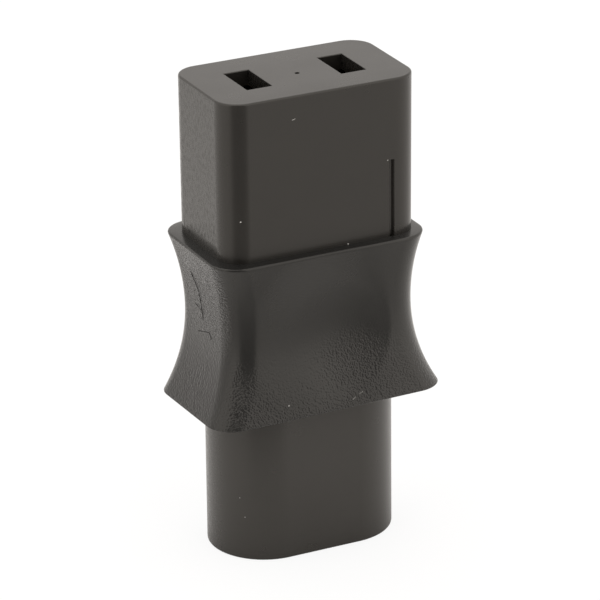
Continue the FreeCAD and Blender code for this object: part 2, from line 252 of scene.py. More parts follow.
class AdapterStudio(PropertyGroup):
    """Camera, floor and light."""
    lens: film("Lens", "Focal length", 248.7)
    sensor: film("Sensor", "Width of the film", 36.0)
    distance: length("Distance", "From the camera to the middle of the adapter", 405.63)
    target_height: length("Target Height", "Height of the point that the camera looks at", 24.16)
    azimuth: angle("Azimuth", "Direction of the camera round the adapter", -26.08)
    elevation: angle("Elevation", "Height of the camera above the horizon", 22.56)
    roll: angle("Roll", "Turn of the camera about its own axis", -0.64)
    shift: pair("Shift", "Shift of the picture, as a share of its width", 0.00442, 0.00762)
    floor_size: length("Floor Size", "Side of the floor", 6000)
    floor: colour("Floor", "Colour of the floor", (0.9, 0.9, 0.9))
    floor_glow: portion("Floor Glow", "Share of plain white in the floor as seen", 0.86)
    floor_reach: length("Floor Reach", "How far from the adapter the floor shows in its gloss", 42)
    floor_fade: portion("Floor Fade", "Share of the floor's reach over which it fades, to either side", 0.1)
    daylight: colour("Daylight", "Colour of the light from the surround", (1.0, 0.96, 0.92))
    floor_light: pair("Floor Light", "Strength of the light from below, at the back and in front", 1.19, 0.9)
    sky_light: pair("Sky Light", "Strength of the light from above, at the back and in front", 1.08, 1.6)
    shade: pair("Shade", "Strength of the light in the shaded part, low down and at the horizon", 0.7, 0.2)
    shade_left: angle("Shade Left", "Direction of the shaded part's left edge at the horizon", -55)
    shade_right: angle("Shade Right", "Direction of the shaded part's right edge at the horizon", 9)
    shade_lean: angle("Shade Lean", "How far the shaded part's right edge leans to the left", 18)
    shade_foot: angle("Shade Foot", "Height at which the shaded part starts to darken", -50)
    shade_core: angle("Shade Core", "Height at which the shaded part is darkest", -5)
    shade_fade: angle("Shade Fade", "Height at which the shaded part starts to fade", 20)
    shade_top: angle("Shade Top", "Height at which the shaded part has faded", 50)
    shade_side: angle("Shade Side", "Half the width of the soft edge at the shaded part's sides", 8)
    horizon: angle("Horizon", "Height at which the light from below gives way to the light from above", -13)
    horizon_edge: angle("Horizon Edge", "Half the width of the change at the horizon", 9)
    lamp_size: length("Lamp Size", "Side of the lamp overhead", 500)
    lamp_place: lengths("Lamp Place", "Place of the lamp overhead", 50, 200, 600)
    lamp_power: FloatProperty(
        name="Lamp Power", description="Power of the lamp overhead", default=0.7, unit="POWER")


# Steps of modelling that several pieces share


def upright(edge):
    """Whether an edge stands upright, or nearly so."""
    rise = edge.verts[1].co - edge.verts[0].co
    return abs(rise.z) > UPRIGHT_SHARE * rise.length


def ring_at(mesh, height):
    """The edges at one height."""
    return [edge for edge in mesh.edges if all(abs(vert.co.z - height) < NEAR for vert in edge.verts)]


def faces_at(mesh, height):
    """The flat faces at one height."""
    return [face for face in mesh.faces if all(abs(vert.co.z - height) < NEAR for vert in face.verts)]


def of_kind(parts, kind):
    """The parts of a bmesh operator's result that are of one kind."""
    return [part for part in parts if isinstance(part, kind)]


def round_off(mesh, edges, radius, steps):
    """Rounds edges to a radius."""
    bmesh.ops.bevel(
        mesh, geom=edges, offset=radius, segments=steps, profile=0.5, affect="EDGES", material=-1)


def rounded_block(mesh, width, depth, low, high, corner, steps):
    """An upright block with rounded corners."""
    bmesh.ops.create_cube(mesh, size=1.0)
    bmesh.ops.scale(mesh, vec=(width, depth, high - low), verts=mesh.verts)
    bmesh.ops.translate(mesh, vec=(0, 0, (low + high) / 2), verts=mesh.verts)
    round_off(mesh, [edge for edge in mesh.edges if upright(edge)], corner, steps)


def push(mesh, faces, travel):
    """Extrudes faces as one region and returns the moved ones."""
    made = bmesh.ops.extrude_face_region(mesh, geom=faces)["geom"]
    bmesh.ops.delete(mesh, geom=faces, context="FACES")
    bmesh.ops.translate(mesh, vec=travel, verts=of_kind(made, bmesh.types.BMVert))
    return of_kind(made, bmesh.types.BMFace)


def score(mesh, faces, place, normal):
    """Cuts faces along a plane."""
    edges = {edge for face in faces for edge in face.edges}
    verts = {vert for face in faces for vert in face.verts}
    bmesh.ops.bisect_plane(mesh, geom=[*faces, *edges, *verts], dist=NEAR, plane_co=place, plane_no=normal)


def inside(face, centre, size):
    """Whether a face lies within a box in the plane of the long and short sides."""
    middle = face.calc_center_median()
    return all(abs(middle[axis] - centre[axis]) < size[axis] / 2 for axis in (0, 1))


def clamp(value):
    """A value kept between nothing and one."""
    return max(0.0, min(1.0, value))


def inset(outline, step):
    """A rounded outline (half width, half depth, corner) moved in by a step on all sides."""
    return tuple(size - step for size in outline)


def reshape(vert, old, new):
    """Moves a vertex from one rounded outline to the like place on another."""
    for axis in (0, 1):
        reach = old[axis] - old[2]
        core = max(-reach, min(reach, vert.co[axis]))
        share = core / reach if reach > NEAR else 0.0
        vert.co[axis] = share * (new[axis] - new[2]) + (vert.co[axis] - core) * new[2] / old[2]


def grow(mesh, ring, old, new, height):
    """Extrudes a ring of edges to another outline and height, and returns the new ring."""
    made = bmesh.ops.extrude_edge_only(mesh, edges=ring)["geom"]
    verts = set(of_kind(made, bmesh.types.BMVert))
    for vert in verts:
        reshape(vert, old, new)
        vert.co.z = height
    return [edge for edge in of_kind(made, bmesh.types.BMEdge) if verts.issuperset(edge.verts)]


def place_piece(mesh, name, slot, material, *nodes):
    """Makes a finished bmesh an object that rides on the frame and stands for CAD nodes."""
    bmesh.ops.recalc_face_normals(mesh, faces=mesh.faces)
    for face in mesh.faces:
        face.smooth = True
    for edge in mesh.edges:
        edge.smooth = edge.calc_face_angle(0.0) < SHARP_ANGLE
    data = bpy.data.meshes.new(name)
    mesh.to_mesh(data)
    mesh.free()
    data.materials.append(material)
    piece = bpy.data.objects.new(name, data)
    bpy.context.scene.collection.objects.link(piece)
    if nodes:
        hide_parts(*nodes)
    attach(piece, "root")
    return piece


def even_shading(piece):
    """Keeps large flat faces flat between their rounded edges."""
    piece.modifiers.new("Even Shading", "WEIGHTED_NORMAL").keep_sharp = True


# Outlet block


def cut_slot(mesh, sizes, centre):
    """Opens one slot in the top face and the contact chamber under it."""
    top = HOUSING_HIGH.z
    slot = (sizes.slot_width, sizes.slot_length)
    for side in (-1, 1):
        score(mesh, faces_at(mesh, top), (centre + side * slot[0] / 2, 0, top), (1, 0, 0))
        score(mesh, faces_at(mesh, top), (0, side * slot[1] / 2, top), (0, 1, 0))
    mouth = [face for face in faces_at(mesh, top) if inside(face, (centre, 0), slot)]
    shelf = push(mesh, mouth, (0, 0, -sizes.top_wall))
    ceiling = push(mesh, shelf, (0, 0, 0))
    verts = {vert for face in ceiling for vert in face.verts}
    bmesh.ops.translate(mesh, vec=(-centre, 0, 0), verts=list(verts))
    widen = (sizes.chamber_width / slot[0], sizes.chamber_length / slot[1], 1)
    bmesh.ops.scale(mesh, vec=widen, verts=list(verts))
    bmesh.ops.translate(mesh, vec=(centre, 0, 0), verts=list(verts))
    push(mesh, ceiling, (0, 0, HOUSING_LOW.z + sizes.chamber_floor - top + sizes.top_wall))


def cut_gate_pit(mesh, sizes):
    """Sinks the small round gate pit into the top face."""
    top = HOUSING_HIGH.z
    centre = Vector((0, sizes.gate_offset, top))
    width = sizes.gate_diameter
    for side in (-1, 1):
        score(mesh, faces_at(mesh, top), centre + Vector((side * width, 0, 0)), (1, 0, 0))
        score(mesh, faces_at(mesh, top), centre + Vector((0, side * width, 0)), (0, 1, 0))
    pit = [face for face in faces_at(mesh, top) if inside(face, centre, (2 * width, 2 * width))]
    bmesh.ops.inset_region(mesh, faces=pit, thickness=width / 2)
    bmesh.ops.subdivide_edges(mesh, edges=pit[0].edges, cuts=PIT_CUTS)
    pit = [face for face in faces_at(mesh, top) if inside(face, centre, (width / 2, width / 2))]
    for vert in pit[0].verts:
        vert.co = centre + (vert.co - centre).normalized() * width / 2
    push(mesh, pit, (0, 0, -sizes.gate_depth))


def cut_front_groove(mesh, sizes):
    """Cuts the thin upright groove into the front of the block."""
    top = COLLAR_HIGH.z + sizes.groove_rise
    foot = COLLAR_HIGH.z - sizes.groove_sink
    half = sizes.groove_width / 2
    place = sizes.groove_place

    def front():
        return [
            face for face in mesh.faces
            if face.normal.y < -FACING_SHARE and face.calc_center_median().z > foot]

    def strip():
        return [face for face in front() if abs(face.calc_center_median().x - place) < half]

    for side in (-1, 1):
        score(mesh, front(), (place + side * half, 0, 0), (1, 0, 0))
    for level in (top, foot):
        score(mesh, strip(), (0, 0, level), (0, 0, 1))
    mouth = [face for face in strip() if face.calc_center_median().z < top]
    floor = push(mesh, mouth, (0, sizes.groove_depth, 0))
    for vert in {vert for face in floor for vert in face.verts}:
        vert.co.x = place + (vert.co.x - place) * sizes.groove_floor / sizes.groove_width


def seat_outline(sizes):
    """The block's outline where it is let into the collar."""
    half = (HOUSING_HIGH - HOUSING_LOW) / 2
    return half.x - sizes.taper, half.y - sizes.taper, sizes.corner - sizes.taper


def make_outlet_block(sizes, foot_level):
    """The block with two slots, and its neck inside the collar."""
    mesh = bmesh.new()
    width = HOUSING_HIGH.x - HOUSING_LOW.x
    depth = HOUSING_HIGH.y - HOUSING_LOW.y
    rounded_block(mesh, width, depth, foot_level, HOUSING_HIGH.z, sizes.corner, BLOCK_STEPS)
    round_off(mesh, ring_at(mesh, HOUSING_HIGH.z), sizes.edge, EDGE_STEPS)
    foot = faces_at(mesh, foot_level)
    draw_in = (1 - 2 * sizes.taper / width, 1 - 2 * sizes.taper / depth, 1)
    bmesh.ops.scale(mesh, vec=draw_in, verts=foot[0].verts)
    bmesh.ops.inset_region(mesh, faces=foot, thickness=sizes.shoulder, use_even_offset=True)
    push(mesh, foot, (0, 0, HOUSING_LOW.z - foot_level))
    for side in (-1, 1):
        cut_slot(mesh, sizes, side * sizes.slot_pitch / 2)
    cut_gate_pit(mesh, sizes)
    cut_front_groove(mesh, sizes)
    mouths = [
        edge for edge in ring_at(mesh, HOUSING_HIGH.z)
        if abs(edge.verts[0].co.x) > sizes.gate_diameter
        and any(abs(face.normal.z) < STEEP_SHARE for face in edge.link_faces)]
    round_off(mesh, mouths, sizes.slot_edge, SLOT_EDGE_STEPS)
    return mesh


# Grip collar


def bowed(waist, end, rise, height):
    """Reach, at a height from the waist, of an arc that is upright there and comes to its end at a rise."""
    flare = end - waist
    radius = (flare ** 2 + rise ** 2) / (2 * flare)
    return waist + radius - math.sqrt(radius ** 2 - height ** 2)


def collar_reach(sizes, axis, level):
    """Half the collar's width (axis 0) or depth (axis 1) at a height."""
    waist_level = COLLAR_LOW.z + sizes.waist_rise
    lip, waist, skirt = (size[axis] / 2 for size in (sizes.lip, sizes.waist, sizes.skirt))
    if level > waist_level:
        return bowed(waist, lip, COLLAR_HIGH.z - waist_level, level - waist_level)
    return bowed(waist, skirt, sizes.waist_rise, waist_level - level)


def collar_outline(sizes, level):
    """The collar's outline at a height."""
    return collar_reach(sizes, 0, level), collar_reach(sizes, 1, level), sizes.corner


def dish_reach(sizes, x, level):
    """How far from the middle plane a thumb dish's floor lies at a place on the front or back."""
    middle = (COLLAR_LOW.z + COLLAR_HIGH.z) / 2
    half = sizes.dish_height / 2
    deepest = collar_reach(sizes, 1, middle) - sizes.dish_depth
    sweep = (sizes.dish_width / 2) ** 2 / (2 * sizes.dish_depth) + sizes.dish_depth / 2
    end = collar_reach(sizes, 1, middle + math.copysign(half, level - middle))
    radius = sweep + deepest - bowed(deepest, end, half, abs(level - middle))
    return deepest + sweep - math.sqrt(radius ** 2 - x ** 2)


def soft_least(first, second, softness):
    """The smaller of two lengths, with the change from one to the other rounded."""
    part = clamp((1 + (second - first) / softness) / 2)
    return second + (first - second) * part - softness * part * (1 - part)


def make_grip_collar(sizes, seat, neck, shroud):
    """The waisted collar with its thumb dishes, the ledge round the block and the inner wall."""
    mesh = bmesh.new()
    low, high = COLLAR_LOW.z, COLLAR_HIGH.z
    band = LIP_BAND * sizes.lip_edge
    block = (sizes.skirt[0] / 2, sizes.skirt[1] / 2, sizes.corner)
    rounded_block(mesh, sizes.skirt[0], sizes.skirt[1], low, high, sizes.corner, COLLAR_STEPS)
    bmesh.ops.delete(mesh, geom=[*faces_at(mesh, low), *faces_at(mesh, high)], context="FACES_ONLY")
    for axis, cuts in enumerate(COLLAR_LEVEL_CUTS):
        straight = [
            edge for edge in mesh.edges
            if abs(edge.verts[0].co[axis] - edge.verts[1].co[axis]) > sizes.corner]
        bmesh.ops.subdivide_edges(mesh, edges=straight, cuts=cuts, use_grid_fill=True)
    for level in (low + band, high - band):
        score(mesh, mesh.faces[:], (0, 0, level), (0, 0, 1))
    tall = [edge for edge in mesh.edges if upright(edge) and edge.calc_length() > 2 * band]
    bmesh.ops.subdivide_edges(mesh, edges=tall, cuts=COLLAR_UPRIGHT_CUTS, use_grid_fill=True)
    for vert in mesh.verts:
        reshape(vert, block, collar_outline(sizes, vert.co.z))
        dish = dish_reach(sizes, vert.co.x, vert.co.z)
        blend = clamp(1 / 2 + vert.co.x / CREASE_BLEND) * min(1.0, (high - vert.co.z) / CREASE_FADE)
        softness = sizes.crease[0] * (1 - blend) + sizes.crease[1] * blend
        vert.co.y = math.copysign(soft_least(abs(vert.co.y), dish, softness), vert.co.y)
    skin = mesh.verts[:]
    lip = ring_at(mesh, high)
    rim = ring_at(mesh, low)
    ledge = grow(mesh, lip, collar_outline(sizes, high), seat, high)
    seat_foot = grow(mesh, ledge, seat, seat, high - sizes.seat_depth)
    neck_ring = grow(mesh, seat_foot, seat, neck, high - sizes.seat_depth)
    sleeve_foot = grow(mesh, rim, collar_outline(sizes, low), shroud, low)
    bmesh.ops.bridge_loops(mesh, edges=[*neck_ring, *sleeve_foot])
    for vert in skin:
        drop = (high - vert.co.z) / (high - low)
        x, y, z = vert.co
        vert.co.x = x + sizes.lip_shift[0] * (1 - drop) + sizes.skirt_shift[0] * drop
        vert.co.y = y + sizes.lip_shift[1] * (1 - drop) + sizes.skirt_shift[1] * drop
        vert.co.z = z + drop ** 2 * (sizes.skirt_tilt[0] * x + sizes.skirt_tilt[1] * y - sizes.skirt_sag)
    round_off(mesh, lip, sizes.lip_edge, EDGE_STEPS)
    round_off(mesh, rim, sizes.rim_edge, EDGE_STEPS)
    return mesh


# Inlet block and pins


def make_inlet_block(sizes):
    """The shroud: a cup of stadium section with two ribs in its recess."""
    mesh = bmesh.new()
    width, depth, _ = SHROUD_HIGH - SHROUD_LOW
    low = SHROUD_LOW.z
    rounded_block(mesh, width, depth, low, SHROUD_HIGH.z, STADIUM * depth, SHROUD_STEPS)
    round_off(mesh, ring_at(mesh, low), sizes.edge, EDGE_STEPS)
    straight = [edge for edge in mesh.edges if abs(edge.verts[0].co.x - edge.verts[1].co.x) > sizes.wall]
    bmesh.ops.subdivide_edges(mesh, edges=straight, cuts=SHROUD_CUTS, use_grid_fill=True)
    bmesh.ops.delete(mesh, geom=faces_at(mesh, low), context="FACES")
    outside = (width / 2, depth / 2, STADIUM * depth)
    steps = (sizes.edge, sizes.wall - sizes.lead_in, sizes.wall)
    foot, land, wall = (inset(outside, step) for step in steps)
    land_ring = grow(mesh, ring_at(mesh, low), foot, land, low)
    mouth = grow(mesh, land_ring, land, wall, low + sizes.lead_in)
    rib_foot = grow(mesh, mouth, wall, wall, low + sizes.lead_in + sizes.rib_slope)
    floor = grow(mesh, rib_foot, wall, wall, low + sizes.recess_depth)
    for vert in {vert for edge in (*rib_foot, *floor) for vert in edge.verts}:
        if abs(vert.co.x) < sizes.rib_radius:
            bulge = sizes.rib_height - sizes.rib_radius + math.sqrt(sizes.rib_radius ** 2 - vert.co.x ** 2)
            reach = depth / 2 - sizes.wall - max(0.0, bulge)
            vert.co.y = max(-reach, min(reach, vert.co.y))
    bmesh.ops.edgeloop_fill(mesh, edges=floor)
    return mesh


def make_inlet_pin(sizes, side):
    """One turned pin with a rounded nose, a shoulder in the shroud's floor and a riveted tail."""
    mesh = bmesh.new()
    low, high = PIN_LOW.z, PIN_HIGH.z
    seat = SHROUD_LOW.z + sizes.recess_depth + sizes.shoulder_sink
    back = seat + sizes.shoulder_height
    head = high - sizes.rivet_height
    widths = (sizes.pin_diameter, sizes.shoulder_diameter, sizes.tail_diameter, sizes.rivet_diameter)
    pin, shoulder, tail, rivet = (width / 2 for width in widths)
    profile = (
        (0, low), (pin, low), (pin, seat), (shoulder, seat), (shoulder, back),
        (tail, back), (tail, head), (rivet, head), (rivet, high), (0, high))
    verts = [mesh.verts.new((x, 0, z)) for x, z in profile]
    edges = [mesh.edges.new(ends) for ends in zip(verts, verts[1:])]
    bmesh.ops.spin(
        mesh, geom=[*verts, *edges], cent=(0, 0, 0), axis=(0, 0, 1), angle=math.tau, steps=PIN_STEPS,
        use_merge=True)
    bmesh.ops.remove_doubles(mesh, verts=mesh.verts, dist=NEAR)
    nose = [edge for edge in ring_at(mesh, low) if all(vert.co.xy.length > NEAR for vert in edge.verts)]
    bmesh.ops.recalc_face_normals(mesh, faces=mesh.faces)
    round_off(mesh, nose, sizes.pin_nose, NOSE_STEPS)
    bmesh.ops.translate(mesh, vec=(side * sizes.pin_pitch / 2, 0, 0), verts=mesh.verts)
    return mesh


# Dust and scratches


def surface_at(name, start, way):
    """The place where a straight line first meets a piece, and the way that its surface faces there."""
    hit, place, normal, _ = bpy.data.objects[name].ray_cast(Vector(start), Vector(way))
    if not hit:
        raise RuntimeError(f"no surface of {name} under a mark")
    return place, normal


def make_dust():
    """Flecks of dust that lie on the front of the pieces."""
    mesh = bmesh.new()
    for name, x, z, size, width, turn in SPECKS:
        place, normal = surface_at(name, (x * MM, -RAY_START, z * MM), (0, 1, 0))
        made = bmesh.ops.create_icosphere(mesh, subdivisions=SPECK_STEPS, radius=MM / 2)["verts"]
        bmesh.ops.scale(mesh, vec=(size, width, width / 2), verts=made)
        lie = normal.to_track_quat("Z", "Y") @ Quaternion((0, 0, 1), math.radians(turn))
        bmesh.ops.rotate(mesh, cent=(0, 0, 0), matrix=lie.to_matrix(), verts=made)
        bmesh.ops.translate(mesh, vec=place, verts=made)
    return mesh


def make_scratches(sizes):
    """Thin scratches on the collar's left side, each a line of straight runs."""
    mesh = bmesh.new()
    for line in SCRATCHES:
        spots = [
            surface_at("grip_sleeve", (-RAY_START, depth * MM, height * MM), (1, 0, 0))
            for depth, height in line]
        for (start, normal), (end, _) in zip(spots, spots[1:]):
            run = end - start
            across = normal.cross(run).normalized()
            turn = Matrix((run.normalized(), across, run.cross(across).normalized())).transposed()
            made = bmesh.ops.create_cube(mesh, size=1.0)["verts"]
            bmesh.ops.scale(mesh, vec=(run.length, sizes.scratch_width, sizes.scratch_height), verts=made)
            bmesh.ops.rotate(mesh, cent=(0, 0, 0), matrix=turn, verts=made)
            bmesh.ops.translate(mesh, vec=(start + end) / 2, verts=made)
    return mesh


# Steps that the materials share


def new_material(name):
    """A material with an empty node tree, and that tree."""
    material = bpy.data.materials.new(name)
    material.use_nodes = True
    tree = material.node_tree
    tree.nodes.clear()
    return material, tree


def add(tree, kind, inputs=None, **settings):
    """Adds a node, sets its properties, and sets or links its inputs."""
    made = tree.nodes.new(kind)
    for key, value in settings.items():
        setattr(made, key, value)
    for key, value in (inputs or {}).items():
        if isinstance(value, bpy.types.NodeSocket):
            tree.links.new(value, made.inputs[key])
        else:
            made.inputs[key].default_value = value
    return made


def object_point(tree, scale=(1, 1, 1)):
    """Object coordinates, stretched by a scale."""
    point = add(tree, "ShaderNodeTexCoord").outputs["Object"]
    return add(tree, "ShaderNodeMapping", {"Vector": point, "Scale": scale}).outputs["Vector"]


def noise(tree, point, scale, detail=2.0):
    """A noise texture, with so many waves to the metre."""
    return add(tree, "ShaderNodeTexNoise", {"Vector": point, "Scale": scale, "Detail": detail}).outputs


def spread(tree, value, low, high, start=0.0, end=1.0):
    """Maps a value, from its own range, smoothly to another range."""
    inputs = {"Value": value, "From Min": start, "From Max": end, "To Min": low, "To Max": high}
    return add(tree, "ShaderNodeMapRange", inputs, interpolation_type="SMOOTHSTEP").outputs["Result"]


def along(tree, vector, axis):
    """One part of a vector."""
    return add(tree, "ShaderNodeSeparateXYZ", {"Vector": vector}).outputs[axis]


def reckon(tree, operation, *values):
    """The result of a sum on values."""
    return add(tree, "ShaderNodeMath", dict(enumerate(values)), operation=operation).outputs["Value"]


def reckon_vector(tree, operation, *vectors):
    """The result of a sum on vectors, as the vector and the value that its node gives."""
    return add(tree, "ShaderNodeVectorMath", dict(enumerate(vectors)), operation=operation).outputs


def greater(tree, first, second):
    """The greater of two values."""
    return reckon(tree, "MAXIMUM", first, second)


def times(tree, first, second):
    """The product of two values."""
    return reckon(tree, "MULTIPLY", first, second)


def between(tree, part, first, second, kind="FLOAT"):
    """A mix of two values, colours or vectors, with a part of the second one."""
    inputs = {"Factor": part, "A": first, "B": second}
    return add(tree, "ShaderNodeMix", inputs, data_type=kind).outputs["Result"]


def faced(tree, axis):
    """How far the surface faces along an axis."""
    return along(tree, add(tree, "ShaderNodeNewGeometry").outputs["Normal"], axis)


def sideways(tree, start, end):
    """One on the short sides of the adapter, and nothing on its front, back and ends."""
    return spread(tree, reckon(tree, "ABSOLUTE", faced(tree, "X")), 0.0, 1.0, start, end)


def patch(tree, point, centre, reach, middle, rest=0.0):
    """A value that holds in the middle of a rounded patch and fades to the rest at its reach."""
    from_centre = reckon_vector(tree, "SUBTRACT", point, centre)["Vector"]
    scaled = reckon_vector(tree, "DIVIDE", from_centre, reach)["Vector"]
    return spread(tree, reckon_vector(tree, "LENGTH", scaled)["Value"], middle, rest)


def tint(tree, value, base, contrast):
    """Varies a colour in brightness with a texture's value."""
    dark = [channel * (1 - contrast) for channel in base]
    light = [channel * (1 + contrast) for channel in base]
    return between(tree, value, (*dark, 1), (*light, 1), kind="RGBA")


def bump(tree, height, distance, under=None, strength=1.0):
    """A bump of a depth, over another one."""
    inputs = {"Height": height, "Distance": distance, "Strength": strength}
    if under:
        inputs["Normal"] = under
    return add(tree, "ShaderNodeBump", inputs).outputs["Normal"]


def finish_surface(tree, inputs):
    """Ends a tree with a principled surface."""
    surface = add(tree, "ShaderNodeBsdfPrincipled", inputs)
    add(tree, "ShaderNodeOutputMaterial", {"Surface": surface.outputs["BSDF"]})


# Materials of the pieces


def satin_moulding(finish):
    """Smooth satin plastic with faint upright draw marks, and flecks of gloss on its short sides."""
    material, tree = new_material("satin_moulding")
    point = object_point(tree)
    mottle = noise(tree, point, scale=220.0, detail=4.0)["Fac"]
    dull = spread(tree, mottle, low=0.25, high=0.33)
    flecks = noise(tree, object_point(tree, scale=(1, 1, 0.6)), scale=3000.0, detail=3.0)["Fac"]
    glossy = spread(tree, flecks, low=0.16, high=0.4, start=0.3, end=0.7)
    upper = spread(tree, along(tree, point, "Z"), low=0.35, high=1.0, start=14 * MM, end=18 * MM)
    flecked = times(tree, sideways(tree, start=0.9, end=0.98), upper)
    spark = noise(tree, point, scale=14000.0)["Fac"]
    fine = bump(tree, spark, distance=0.004 * MM)
    draw_marks = noise(tree, object_point(tree, scale=(1, 1, 0.03)), scale=5200.0)["Fac"]
    finish_surface(tree, {
        "Base Color": tint(tree, mottle, finish.housing, contrast=0.12),
        "Roughness": between(tree, flecked, dull, glossy),
        "IOR": 1.5,
        "Specular Tint": (*finish.sheen, 1),
        "Normal": bump(tree, draw_marks, distance=0.002 * MM, under=fine),
    })
    return material


def kept_grain(tree, point, side):
    """How much of the grain is left: most low down, on the sides and in two patches, none on the ledge."""
    height = along(tree, point, "Z")
    skirt = spread(tree, height, low=0.9, high=0.06, start=17 * MM, end=24 * MM)
    sides = times(tree, side, spread(tree, height, low=0.4, high=1.7, start=20 * MM, end=28 * MM))
    kept = greater(tree, skirt, sides)
    for centre, reach, middle in GRAIN_PATCHES:
        kept = greater(tree, kept, patch(tree, point, centre, reach, middle))
    return times(tree, kept, spread(tree, faced(tree, "Z"), low=1.0, high=0.0, start=0.4, end=0.8))


def grip_painted_light(tree, point, side):
    """Painted light and shade in the collar's colour: paler to the right and low on the front, darker low on
    the sides, and paler still in a painted sheen patch where the thumb rubs.
    """
    across = spread(tree, along(tree, point, "X"), low=1.0, high=1.6, start=3 * MM, end=9 * MM)
    low_down = spread(tree, side, low=1.15, high=0.4)
    upwards = spread(tree, along(tree, point, "Z"), low=low_down, high=0.95, start=19 * MM, end=26 * MM)
    return times(tree, times(tree, across, upwards), patch(tree, point, *PAINTED_SHEEN_PATCH))


def leather_moulding(finish):
    """Softer plastic with a fine leather grain, rubbed smooth but for the sides, the skirt and two patches;
    its colour carries painted light and shade.
    """
    material, tree = new_material("leather_moulding")
    point = object_point(tree)
    side = sideways(tree, start=0.75, end=0.95)
    wander = noise(tree, point, scale=900.0)["Color"]
    bent = between(tree, finish.grain_wander, point, wander, kind="VECTOR")
    net = {"Vector": bent, "Scale": 1 / finish.grain_pitch}
    cells = add(tree, "ShaderNodeTexVoronoi", net, feature="SMOOTH_F1").outputs["Distance"]
    pebbles = spread(tree, cells, low=1.0, high=0.0)
    swell = noise(tree, point, scale=600.0)["Fac"]
    waves = bump(tree, swell, finish.wave_depth, strength=times(tree, side, WAVE_STRENGTH))
    mottle = noise(tree, point, scale=260.0, detail=4.0)["Fac"]
    shade = tint(tree, mottle, finish.grip, contrast=0.12)
    # Painted light and shade: the colour is made paler to the right, low on the front and in a sheen patch,
    # and darker low on the sides
    painted_light_inputs = {0: shade, "Scale": grip_painted_light(tree, point, side)}
    kept = kept_grain(tree, point, side)
    finish_surface(tree, {
        "Base Color": add(tree, "ShaderNodeVectorMath", painted_light_inputs, operation="SCALE").outputs["Vector"],
        "Roughness": spread(tree, mottle, low=0.2, high=0.27),
        "IOR": 1.5,
        "Specular IOR Level": 0.39,
        "Specular Tint": (*finish.sheen, 1),
        "Normal": bump(tree, pebbles, finish.grain_depth, under=waves, strength=kept),
    })
    return material


def nickel_plate(finish):
    """Bright nickel plate over turned brass."""
    material, tree = new_material("nickel_plate")
    turning = noise(tree, object_point(tree, scale=(0.05, 0.05, 1)), scale=9000.0)["Fac"]
    finish_surface(tree, {
        "Base Color": tint(tree, turning, finish.nickel, contrast=0.05),
        "Metallic": 1.0,
        "Roughness": spread(tree, turning, low=0.16, high=0.26),
        "Normal": bump(tree, turning, distance=0.002 * MM),
    })
    return material


def brass_strip(finish):
    """Rolled brass strip."""
    material, tree = new_material("brass_strip")
    rolling = noise(tree, object_point(tree, scale=(1, 1, 0.05)), scale=6000.0, detail=3.0)["Fac"]
    finish_surface(tree, {
        "Base Color": tint(tree, rolling, finish.brass, contrast=0.08),
        "Metallic": 1.0,
        "Roughness": spread(tree, rolling, low=0.24, high=0.36),
        "Normal": bump(tree, rolling, distance=0.002 * MM),
    })
    return material


def dust_fluff(finish):
    """Pale dust."""
    material, tree = new_material("dust_fluff")
    fibres = noise(tree, object_point(tree), scale=15000.0, detail=3.0)["Fac"]
    finish_surface(tree, {
        "Base Color": tint(tree, fibres, finish.dust, contrast=0.3),
        "Roughness": 0.9,
        "Normal": bump(tree, fibres, distance=0.03 * MM),
    })
    return material


def scratched_plastic(finish):
    """Dark, dull plastic in a scratch."""
    material, tree = new_material("scratched_plastic")
    tears = noise(tree, object_point(tree), scale=9000.0, detail=3.0)["Fac"]
    finish_surface(tree, {
        "Base Color": tint(tree, tears, finish.scratch, contrast=0.3),
        "Roughness": spread(tree, tears, low=0.6, high=0.8),
        "Specular IOR Level": 0.2,
        "Normal": bump(tree, tears, distance=0.02 * MM),
    })
    return material


# Studio


def floor_paper(studio):
    """Matt white paper, which looks nearly evenly white but keeps the shadow."""
    material, tree = new_material("floor_paper")
    point = object_point(tree)
    fibres = noise(tree, point, scale=1200.0, detail=4.0)["Fac"]
    paper = add(tree, "ShaderNodeBsdfDiffuse", {"Color": tint(tree, fibres, studio.floor, contrast=0.01)})
    glow = add(tree, "ShaderNodeEmission", {"Strength": 1.0})
    path = add(tree, "ShaderNodeLightPath").outputs
    white = spread(tree, path["Is Camera Ray"], low=0.0, high=studio.floor_glow)
    seen = add(tree, "ShaderNodeMixShader", {
        0: white, 1: paper.outputs["BSDF"], 2: glow.outputs["Emission"]})
    distance = reckon_vector(tree, "LENGTH", point)["Value"]
    near, far = ((1 + side * studio.floor_fade) * studio.floor_reach for side in (-1, 1))
    beyond = spread(tree, distance, low=0.0, high=1.0, start=near, end=far)
    clear = times(tree, path["Is Glossy Ray"], beyond)
    nothing = add(tree, "ShaderNodeBsdfTransparent")
    mixed = add(tree, "ShaderNodeMixShader", {
        0: clear, 1: seen.outputs["Shader"], 2: nothing.outputs["BSDF"]})
    add(tree, "ShaderNodeOutputMaterial", {"Surface": mixed.outputs["Shader"]})
    return material


def level_way(azimuth):
    """The level direction away from the adapter at an angle round it."""
    return Vector((math.sin(azimuth), -math.cos(azimuth), 0))


